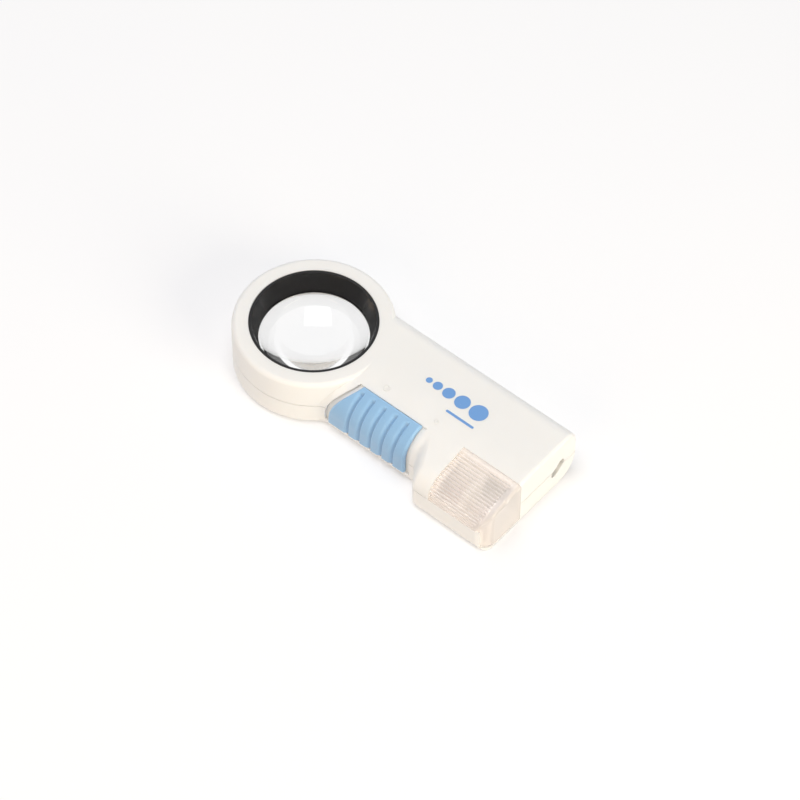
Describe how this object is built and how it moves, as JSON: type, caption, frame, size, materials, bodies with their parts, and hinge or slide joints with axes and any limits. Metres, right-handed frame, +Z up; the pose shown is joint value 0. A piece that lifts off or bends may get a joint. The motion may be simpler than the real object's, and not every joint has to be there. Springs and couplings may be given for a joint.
{
  "type": "low vision magnifier",
  "caption": "Pocket magnifier: round lens head on a flat handle with a sliding ribbed grip switch, a reading lamp, a clear fluted flashlight housing and a battery door.",
  "frame": {"origin": "on the lens axis, in the flat bottom plane, at the mouth of the opening under the lens", "axes": "+X from the lens towards the tail, +Z up through the lens, -Y the side with the grip pad and the flashlight"},
  "size_m": [0.1157, 0.0518, 0.019],
  "materials": {
    "white_shell": "fine satin moulded",
    "black_ring": "gloss moulded",
    "clear_lens": "polished",
    "clear_cover": "fluted, polished",
    "clear_lamp": "clear resin",
    "mirror_cup": "vacuum plated",
    "blue_grip": "soft satin",
    "inner_white": "moulded",
    "contact_metal": "plated",
    "spring_steel": "nickel plated",
    "screw_steel": "zinc plated",
    "green_board": "solder mask",
    "resistor_body": "lacquered",
    "cell_case": "printed sleeve",
    "red_wire": "insulation"
  },
  "bodies": {
    "housing": {"upper_shell": "white_shell", "lower_shell": "white_shell", "lens_bezel": "black_ring", "lens": "clear_lens", "lens_retainer": "black_ring", "lamp_cover": "clear_cover", "reflector": "mirror_cup", "flashlight_led": "clear_lamp", "reading_led": "clear_lamp", "led_holder": "inner_white", "reading_led_sleeve": "black_ring", "circuit_board": "green_board", "switch_contacts": "contact_metal", "resistors": "resistor_body", "detent_spring": "spring_steel", "battery_1": "cell_case", "battery_2": "cell_case", "positive_contact": "spring_steel", "negative_contact": "spring_steel", "bridge_contact": "spring_steel", "battery_springs": "spring_steel", "shell_screws": "screw_steel", "strap_bar": "white_shell", "reading_led_wires": "red_wire", "flashlight_led_wires": "red_wire"},
    "switch": {"grip_pad": "blue_grip", "switch_carrier": "inner_white", "switch_wiper": "contact_metal"},
    "battery_door": {"battery_door": "white_shell"}
  },
  "joints": [
    {"name": "switch_slide", "type": "slide", "parent": "housing", "child": "switch", "axis": [1, 0, 0], "range_m": [-0.0015, 0.0015]},
    {"name": "door_hinge", "type": "hinge", "parent": "housing", "child": "battery_door", "pos_m": [0.0293, 0.0035, 0.00015], "axis": [0, 1, 0], "range_deg": [0, 80]}
  ]
}
